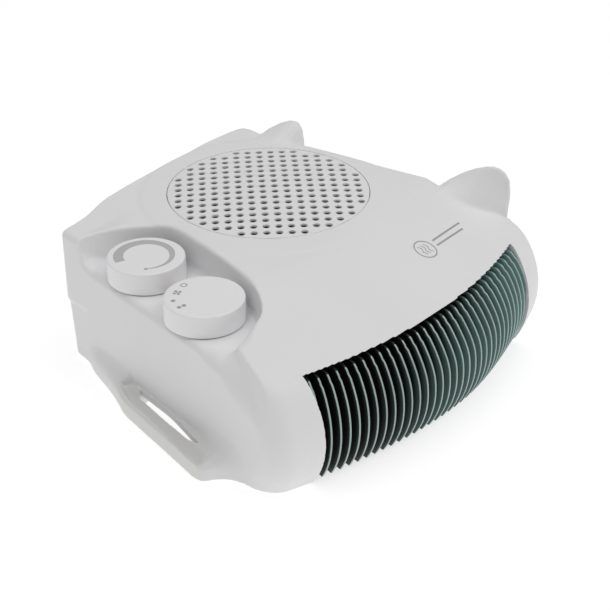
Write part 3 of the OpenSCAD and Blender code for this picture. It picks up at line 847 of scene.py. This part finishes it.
def ink_patch(verts, faces, inner, outer_line, axis):
    """A thin raised strip between two lines of polar points (degrees, radius)."""
    n = len(inner)
    base = len(verts)
    for line in (inner, outer_line):
        for h in (-INK_DEEP, INK):
            for a, r in line:
                x, y = at_polar(a, r)
                verts.append((axis[0] + x, axis[1] + y, ink_top(r) + h))
    i0, i1, o0, o1 = base, base + n, base + 2 * n, base + 3 * n
    for k in range(n - 1):
        faces.append([i1 + k, i1 + k + 1, o1 + k + 1, o1 + k])
        faces.append([i0 + k, i0 + k + 1, i1 + k + 1, i1 + k])
        faces.append([o0 + k, o1 + k, o1 + k + 1, o0 + k + 1])
    faces.append([i0, i1, o1, o0])
    faces.append([i0 + n - 1, o0 + n - 1, o1 + n - 1, i1 + n - 1])


def ink_dot(verts, faces, cx, cy, r, axis, inner=0.0, steps=20, turn=0.0, lobes=0, depth=0.0):
    """A dot, ring or lobed blob of ink at (cx, cy) from the knob's axis."""
    base = len(verts)

    def rim_point(a, q, heights):
        x, y = cx + q * math.cos(a + turn), cy + q * math.sin(a + turn)
        h = ink_top(math.hypot(x, y))
        for above in heights:
            verts.append((axis[0] + x, axis[1] + y, h + above))

    for k in range(steps):
        a = 2 * math.pi * k / steps
        q = r * (1 - depth * 0.5 * (1 + math.cos(lobes * a))) if lobes else r
        rim_point(a, q, (-INK_DEEP, INK))
    top_ring = [base + 2 * k + 1 for k in range(steps)]
    for k in range(steps):
        j = (k + 1) % steps
        faces.append([base + 2 * k, base + 2 * j, base + 2 * j + 1, base + 2 * k + 1])
    c = len(verts)
    if inner <= 0:
        verts.append((axis[0] + cx, axis[1] + cy, ink_top(math.hypot(cx, cy)) + INK))
        for k in range(steps):
            faces.append([top_ring[k], top_ring[(k + 1) % steps], c])
        return
    for k in range(steps):
        rim_point(2 * math.pi * k / steps, inner, (INK, -INK_DEEP))
    for k in range(steps):
        j = (k + 1) % steps
        faces.append([top_ring[k], top_ring[j], c + 2 * j, c + 2 * k])
        faces.append([c + 2 * k, c + 2 * j, c + 2 * j + 1, c + 2 * k + 1])


def mark_object(name, verts, faces):
    ob = mesh_object(name, verts, faces, angle=30)
    face_out(ob)
    return ob


def thermostat_mark():
    """A ring scale that narrows from its hot end to a dot beside its cool end."""
    # angle, inner and outer radius
    stations = [(158, 12.7, 18.3), (131, 13.0, 18.7), (47, 13.7, 18.7), (-40, 13.2, 16.5), (-128, 15.1, 15.7)]
    inner, outer_line = [], []
    for k in range(73):
        a = 158 - 286 * k / 72
        for (a1, i1, o1), (a2, i2, o2) in zip(stations, stations[1:]):
            if a2 <= a <= a1:
                t = (a1 - a) / (a1 - a2)
                inner.append((a, i1 + (i2 - i1) * t))
                outer_line.append((a, o1 + (o2 - o1) * t))
                break
    v, f = [], []
    ink_patch(v, f, inner, outer_line, K1)
    ink_dot(v, f, *at_polar(-133.5, 15.6), 1.25, K1)
    return mark_object("thermostat_mark", v, f)


def selector_marks():
    """A ring for off, a fan for cold air, one dot and two dots for the heats."""
    v, f = [], []
    ink_dot(v, f, *at_polar(86, 16.8), 2.0, K2, inner=1.4)
    fan_angle = 117
    fx, fy = at_polar(fan_angle, 15.4)
    for k in range(4):
        a = math.radians(fan_angle + 45 + 90 * k)
        ink_dot(v, f, fx + 1.9 * math.cos(a), fy + 1.9 * math.sin(a), 1.1, K2, turn=a, lobes=1, depth=0.35)
    ink_dot(v, f, fx, fy, 0.55, K2)
    for angle, r in ((148, 17.2), (174, 17.4), (175, 14.3)):
        ink_dot(v, f, *at_polar(angle, r), 1.4, K2, steps=24, lobes=8, depth=0.22)
    return mark_object("selector_marks", v, f)


knob1 = knob_piece("thermostat_dial", K1)
knob2 = knob_piece("selector_dial", K2)
ink1 = thermostat_mark()
ink2 = selector_marks()


# ------------------------ mark on the slope, pilot lamp lens
MARK = (38.3, -104.3)
STRIP_DEEP, STRIP_OUT = 0.2, 0.08
LENS_PROFILE = [(0, 63.0), (3.4, 63.0), (3.4, 69.02), (4.55, 69.02), (4.6, 69.4), (4.3, 70.0), (3.6, 70.5),
                (2.4, 70.85), (1.2, 71.0), (0, 71.05)]


def slope_z(x, y):
    """Height of the front slope."""
    return LIP_Z - (math.hypot(x, y - BOW_Y) - LIP_R) * math.tan(SLOPE)


def slope_strip(verts, faces, left, right, closed=False):
    """A thin raised strip on the front slope between two lines of (x, y) points."""
    base, n = len(verts), len(left)
    for line in (left, right):
        for h in (-STRIP_DEEP, STRIP_OUT):
            verts += [(x, y, slope_z(x, y) + h) for x, y in line]
    l0, l1, r0, r1 = base, base + n, base + 2 * n, base + 3 * n
    for k in range(n if closed else n - 1):
        j = (k + 1) % n
        faces.append([l1 + k, l1 + j, r1 + j, r1 + k])
        faces.append([l0 + k, l0 + j, l1 + j, l1 + k])
        faces.append([r0 + k, r1 + k, r1 + j, r0 + j])
    if not closed:
        faces += [[l0, l1, r1, r0], [l0 + n - 1, r0 + n - 1, r1 + n - 1, l1 + n - 1]]


def slope_mark():
    """A generic ring with three wavy lines, and two plain bars beside it."""
    v, f = [], []
    mx, my = MARK
    ring_out = [(mx + 7.3 * a, my + 7.0 * b) for a, b in circle(48)]
    ring_in = [(mx + 6.5 * a, my + 6.2 * b) for a, b in circle(48)]
    slope_strip(v, f, ring_out, ring_in, closed=True)
    for dx in (-2.6, 0, 2.6):
        mid = [(mx + dx + 0.7 * math.sin(t * 0.9), my + 0.7 * t) for t in range(-5, 6)]
        slope_strip(v, f, [(x - 0.32, y) for x, y in mid], [(x + 0.32, y) for x, y in mid])
    for x0, y0, x1, y1 in ((48.6, -101.6, 79.5, -98.6), (47.9, -105.6, 76.8, -103.2)):
        line = [(x0 + (x1 - x0) * t / 6, y0 + (y1 - y0) * t / 6) for t in range(7)]
        slope_strip(v, f, [(x, y + 0.6) for x, y in line], [(x, y - 0.6) for x, y in line])
    return mark_object("slope_mark", v, f)


def pilot_lens():
    v, f = revolve(LENS_PROFILE, 40)
    return mesh_object("pilot_lens", [(x + LAMP[0], y + LAMP[1], z) for x, y, z in v], f, angle=50)


badge = slope_mark()
lens = pilot_lens()


# ------------------------ materials
GRAIN_SCALE = 2600.0


def new_material(name):
    """A material, its node tree and its shader."""
    m = bpy.data.materials.new(name)
    m.use_nodes = True
    return m, m.node_tree, m.node_tree.nodes["Principled BSDF"]


def put(nt, socket, value):
    """Link an output to the socket, or set a constant on it."""
    if isinstance(value, bpy.types.NodeSocket):
        nt.links.new(value, socket)
    else:
        socket.default_value = value


def math_node(nt, op, *values):
    n = nt.nodes.new("ShaderNodeMath")
    n.operation = op
    for k, value in enumerate(values):
        put(nt, n.inputs[k], value)
    return n.outputs[0]


def map_range(nt, value, source, target=(0.0, 1.0), smooth=False):
    """The value mapped from the range source to the range target."""
    n = nt.nodes.new("ShaderNodeMapRange")
    if smooth:
        n.interpolation_type = "SMOOTHSTEP"
    for key, number in zip(("From Min", "From Max", "To Min", "To Max"), (*source, *target)):
        n.inputs[key].default_value = number
    nt.links.new(value, n.inputs["Value"])
    return n.outputs["Result"]


def noise(nt, vector, scale, detail=2):
    n = nt.nodes.new("ShaderNodeTexNoise")
    n.inputs["Scale"].default_value = scale
    n.inputs["Detail"].default_value = detail
    nt.links.new(vector, n.inputs["Vector"])
    return n.outputs["Fac"]


def two_colours(nt, value, first, second, span=(0.0, 1.0)):
    """A colour that runs from first to second over the span of the value."""
    n = nt.nodes.new("ShaderNodeValToRGB")
    for element, place, colour in zip(n.color_ramp.elements, span, (first, second)):
        element.position = place
        element.color = (*colour, 1)
    nt.links.new(value, n.inputs["Fac"])
    return n.outputs["Color"]


def mixed(nt, amount, first, second, blend="MIX"):
    n = nt.nodes.new("ShaderNodeMix")
    n.data_type = "RGBA"
    n.blend_type = blend
    # inputs 6 and 7 and output 2 of this node are its colours
    for k, value in ((0, amount), (6, first), (7, second)):
        put(nt, n.inputs[k], value)
    return n.outputs[2]


def object_place(nt):
    return nt.nodes.new("ShaderNodeTexCoord").outputs["Object"]


def object_xyz(nt):
    n = nt.nodes.new("ShaderNodeSeparateXYZ")
    nt.links.new(object_place(nt), n.inputs[0])
    return n.outputs[0], n.outputs[1], n.outputs[2]


def multiply_base(nt, amount, colour):
    """Multiply the shader's colour by another, as far as amount says."""
    base = nt.nodes["Principled BSDF"].inputs["Base Color"]
    nt.links.new(mixed(nt, amount, base.links[0].from_socket, colour, "MULTIPLY"), base)


def moulded(name, colour, rough, grain=0.05, vary=0.03, spec=0.5, coat=0.0, wear=0.0, blotch=14.0,
            metal=0.0, lines=None):
    """Plastic or metal with slow colour variation, uneven gloss and a fine surface grain."""
    m, nt, b = new_material(name)
    place = object_place(nt)
    darker = [max(0, c * (1 - vary)) for c in colour]
    lighter = [min(1, c * (1 + vary)) for c in colour]
    out = two_colours(nt, noise(nt, place, blotch, 4), darker, lighter, (0.3, 0.7))
    if wear:
        geo = nt.nodes.new("ShaderNodeNewGeometry")
        edge = map_range(nt, geo.outputs["Pointiness"], (0.5, 0.62), (0.0, wear))
        out = mixed(nt, edge, out, (*[min(1, c * 1.6 + 0.04) for c in colour], 1))
    nt.links.new(out, b.inputs["Base Color"])
    if lines:
        stretch = nt.nodes.new("ShaderNodeMapping")
        stretch.inputs["Scale"].default_value = lines
        nt.links.new(place, stretch.inputs["Vector"])
        place = stretch.outputs["Vector"]
    fine = noise(nt, place, GRAIN_SCALE)
    gloss = map_range(nt, fine, (0.3, 0.7), (max(0.02, rough - 0.05), min(1.0, rough + 0.05)))
    nt.links.new(gloss, b.inputs["Roughness"])
    bump = nt.nodes.new("ShaderNodeBump")
    bump.inputs["Strength"].default_value = grain
    bump.inputs["Distance"].default_value = 0.0002
    nt.links.new(fine, bump.inputs["Height"])
    nt.links.new(bump.outputs["Normal"], b.inputs["Normal"])
    b.inputs["Specular IOR Level"].default_value = spec
    b.inputs["Metallic"].default_value = metal
    if coat:
        b.inputs["Coat Weight"].default_value = coat
        b.inputs["Coat Roughness"].default_value = 0.25
    return m


def paint_slat_shade_and_light(nt):
    """Painted shade on the slats, darker the deeper they sit behind the bulge's face, and painted light that
    lightens their green to the right.
    """
    x, y, z = object_xyz(nt)
    cx = math_node(nt, "SUBTRACT", x, MX / 1000)
    cy = math_node(nt, "SUBTRACT", y, (MY + BOW_Y) / 1000)
    square_x, square_y = math_node(nt, "MULTIPLY", cx, cx), math_node(nt, "MULTIPLY", cy, cy)
    away = math_node(nt, "SQRT", math_node(nt, "ADD", square_x, square_y))
    up = math_node(nt, "SUBTRACT", z, BULGE_Z / 1000)
    square_up = math_node(nt, "MULTIPLY", up, up)
    face = math_node(nt, "SQRT", math_node(nt, "SUBTRACT", (BULGE_R / 1000) ** 2, square_up))
    deep = math_node(nt, "SUBTRACT", math_node(nt, "ADD", face, BULGE_R0 / 1000), away)
    # metres in, then shares of the colour: painted shade that grows with depth behind the face, sooner on the
    # left
    sooner = map_range(nt, x, (-0.02, 0.075), (1.2, 0.30))
    dark = map_range(nt, math_node(nt, "MULTIPLY", deep, sooner), (0.001, 0.0048), (1.0, 0.02))
    # painted light: the green lightens towards the right, where the light falls on the slats
    painted_light_right = map_range(nt, x, (-0.045, 0.100), (0.32, 2.5))
    multiply_base(nt, 1.0, math_node(nt, "MULTIPLY", dark, painted_light_right))


def paint_carry_bar_shade(nt):
    """Painted shade: darken the carry bar a little below the wall above it, where the bar lies in shade."""
    x, y, _ = object_xyz(nt)
    plan_y = math_node(nt, "SUBTRACT", y, MY / 1000)
    wall_x = math_node(nt, "SUBTRACT", math_node(nt, "MULTIPLY", plan_y, SPLAY), half_w(0) / 1000)
    proud = math_node(nt, "SUBTRACT", wall_x, math_node(nt, "SUBTRACT", x, MX / 1000))
    outside = map_range(nt, proud, (0.001, 0.004), smooth=True)
    before_rear = map_range(nt, plan_y, (-0.008, 0.006), (1.0, 0.0), smooth=True)
    behind_front = map_range(nt, plan_y, (-0.094, -0.082), smooth=True)
    bar = math_node(nt, "MULTIPLY", math_node(nt, "MULTIPLY", outside, before_rear), behind_front)
    # painted shade multiplied over the bar's colour, outside the wall and between its rear and front ends
    multiply_base(nt, bar, (0.94, 0.94, 0.915, 1))


def lamp_red():
    """Clear dark red, slightly cloudy, under a gloss coat."""
    m, nt, b = new_material("lamp_red")
    cloud = noise(nt, object_place(nt), 900)
    nt.links.new(two_colours(nt, cloud, (0.10, 0.006, 0.005), (0.22, 0.015, 0.010)), b.inputs["Base Color"])
    b.inputs["Roughness"].default_value = 0.12
    b.inputs["Coat Weight"].default_value = 0.6
    b.inputs["Coat Roughness"].default_value = 0.05
    return m


# colour, roughness, and what else differs from the defaults of moulded()
LOOKS = {
    "shell_white": ((0.86, 0.855, 0.865), 0.52, dict(grain=0.10, vary=0.012, spec=0.35)),
    "shell_lower": ((0.845, 0.84, 0.845), 0.55, dict(grain=0.10, vary=0.015, spec=0.35)),
    "disc_white": ((0.86, 0.86, 0.86), 0.50, dict(grain=0.10, vary=0.012, spec=0.35)),
    "knob_white": ((0.91, 0.91, 0.915), 0.38, dict(grain=0.04, vary=0.010, spec=0.45, coat=0.12)),
    "slat": ((0.082, 0.145, 0.134), 0.60, dict(grain=0.08, vary=0.10, blotch=30)),
    # the slats' front edges: a lighter green that paints their highlight
    "slat_edge_highlight": ((0.40, 0.50, 0.475), 0.50, dict(vary=0.08, blotch=30)),
    "ink": ((0.40, 0.40, 0.415), 0.55, dict(grain=0.03, vary=0.02)),
    "ink_light": ((0.52, 0.52, 0.53), 0.55, dict(grain=0.03, vary=0.02)),
    "spindle_metal": ((0.66, 0.66, 0.66), 0.32, dict(vary=0.04, metal=1.0, lines=(400, 400, 12))),
    "brown_resin": ((0.20, 0.10, 0.045), 0.55, dict(grain=0.12, vary=0.10)),
    "black_plastic": ((0.02, 0.02, 0.021), 0.50, dict(grain=0.10, vary=0.10)),
    "fan_black": ((0.022, 0.022, 0.024), 0.42, dict(grain=0.06, vary=0.10, wear=0.25)),
    "motor_steel": ((0.55, 0.55, 0.56), 0.38, dict(vary=0.05, metal=1.0)),
    "copper": ((0.62, 0.27, 0.14), 0.34, dict(grain=0.2, vary=0.10, metal=1.0, lines=(3000, 3000, 60))),
    "bronze": ((0.55, 0.36, 0.14), 0.45, dict(grain=0.1, vary=0.08, metal=1.0)),
    "duct_steel": ((0.58, 0.59, 0.60), 0.34, dict(grain=0.04, vary=0.06, metal=1.0, blotch=60)),
    "heat_frame": ((0.60, 0.54, 0.42), 0.7, dict(grain=0.12, vary=0.06)),
    "ceramic": ((0.06, 0.06, 0.065), 0.75, dict(grain=0.25, vary=0.12)),
    "aluminium": ((0.75, 0.75, 0.76), 0.30, dict(vary=0.05, metal=1.0)),
    "rubber": ((0.022, 0.022, 0.022), 0.80, dict(grain=0.2, vary=0.12)),
    "brass": ((0.68, 0.46, 0.17), 0.30, dict(grain=0.04, vary=0.06, metal=1.0)),
}
M = {name: moulded(name, colour, rough, **rest) for name, (colour, rough, rest) in LOOKS.items()}
M["lamp_red"] = lamp_red()
paint_slat_shade_and_light(M["slat"].node_tree)
paint_carry_bar_shade(M["shell_lower"].node_tree)


def paint(ob, *names):
    ob.data.materials.clear()
    for n in names:
        ob.data.materials.append(M[n])


# piece, the body it rides on, the CAD nodes it replaces, its material slot, its looks
PIECES = (
    (top, "shell", ["top_housing"], "shell_white", ["shell_white"]),
    (low, "shell", ["bottom_housing"], "shell_white", ["shell_lower"]),
    (disc, "shell", ["intake_grille"], "shell_white", ["disc_white"]),
    (slats, "shell", ["outlet_grille"], "grille_green", ["slat", "slat_edge_highlight"]),
    (knob1, "thermostat_control", ["thermostat_knob"], "knob_white", ["knob_white"]),
    (knob2, "selector_control", ["selector_knob"], "knob_white", ["knob_white"]),
    (ink1, "thermostat_control", [], None, ["ink_light"]),
    (ink2, "selector_control", [], None, ["ink"]),
    (badge, "shell", [], None, ["ink"]),
    (lens, "shell", ["pilot_lamp_lens"], "lamp_red", ["lamp_red"]))
for piece, body, nodes, slot_name, looks in PIECES:
    paint(piece, *looks)
    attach(piece, body)
    if nodes:
        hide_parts(*nodes)
slats.data.polygons.foreach_set("material_index", np.array(slat_mats, dtype=np.int32))

# the CAD nodes that stay
SLOT_OF = {p["node"]: p["material_slot"] for p in frame["record"]["subparts"]}
replaced = {node for piece in PIECES for node in piece[2]}
for name, ob in frame["nodes"].items():
    if name in replaced:
        continue
    mat = M.get(SLOT_OF.get(name, ""), M["black_plastic"])
    if not ob.data.materials:
        ob.data.materials.append(mat)
    for s in ob.material_slots:
        s.material = mat


# ------------------------ floor, light, camera
# metres, grid steps, mm
FLOOR_SIZE, FLOOR_STEPS, FLOOR_Z = 6.0, 24, -0.05
FLOOR_GLOW, WORLD_LIGHT = 0.70, 0.33
# focal length over the width of the picture
FOCAL = 2.37705
SENSOR = 36


def floor_object():
    """A level grid just under the feet, centred on the frame's origin."""
    n = FLOOR_STEPS
    places = [(i / n - 0.5) * FLOOR_SIZE for i in range(n + 1)]
    v = [(x * 1000 - MX, y * 1000 - MY, FLOOR_Z) for x in places for y in places]
    f = []
    for i in range(n):
        for j in range(n):
            a = i * (n + 1) + j
            f.append([a, a + n + 1, a + n + 2, a + 1])
    return mesh_object("floor", v, f, angle=0)


def area_light(name, place, aim, size, power):
    """A round lamp that faces the point aim."""
    ld = bpy.data.lights.new(name, "AREA")
    ld.shape = "DISK"
    ld.size = size
    ld.energy = power
    ob = bpy.data.objects.new(name, ld)
    ob.location = place
    ob.rotation_euler = (Vector(aim) - Vector(place)).to_track_quat("-Z", "Y").to_euler()
    bpy.context.scene.collection.objects.link(ob)


floor = floor_object()
M["floor"] = moulded("floor_white", (0.46, 0.46, 0.46), 0.9, grain=0.0, vary=0.003, spec=0.1, blotch=1.0)
paint(floor, "floor")
glow = M["floor"].node_tree.nodes["Principled BSDF"]
glow.inputs["Emission Color"].default_value = (1, 1, 1, 1)
glow.inputs["Emission Strength"].default_value = FLOOR_GLOW

world = bpy.data.worlds.new("studio")
bpy.context.scene.world = world
world.use_nodes = True
bg = world.node_tree.nodes["Background"]
bg.inputs["Color"].default_value = (1, 1, 1, 1)
bg.inputs["Strength"].default_value = WORLD_LIGHT

area_light("key", (0.5, -1.0, 1.5), (0, 0, 0.05), 1.0, 6)
area_light("overhead", (-0.05, 0.12, 1.75), (0, 0, 0.05), 1.7, 10.2)

cam_data = bpy.data.cameras.new("camera")
cam_data.sensor_width = SENSOR
cam_data.lens = FOCAL * SENSOR
cam_data.clip_end = 50
cam = bpy.data.objects.new("camera", cam_data)
cam.location = tuple(metres((-564.06, -535.51, 480.06)))
cam.rotation_euler = (math.radians(90 - 30.8), 0, math.radians(-49))
bpy.context.scene.collection.objects.link(cam)
bpy.context.scene.camera = cam

scene = bpy.context.scene
scene.view_settings.view_transform = "Standard"
scene.view_settings.look = "None"
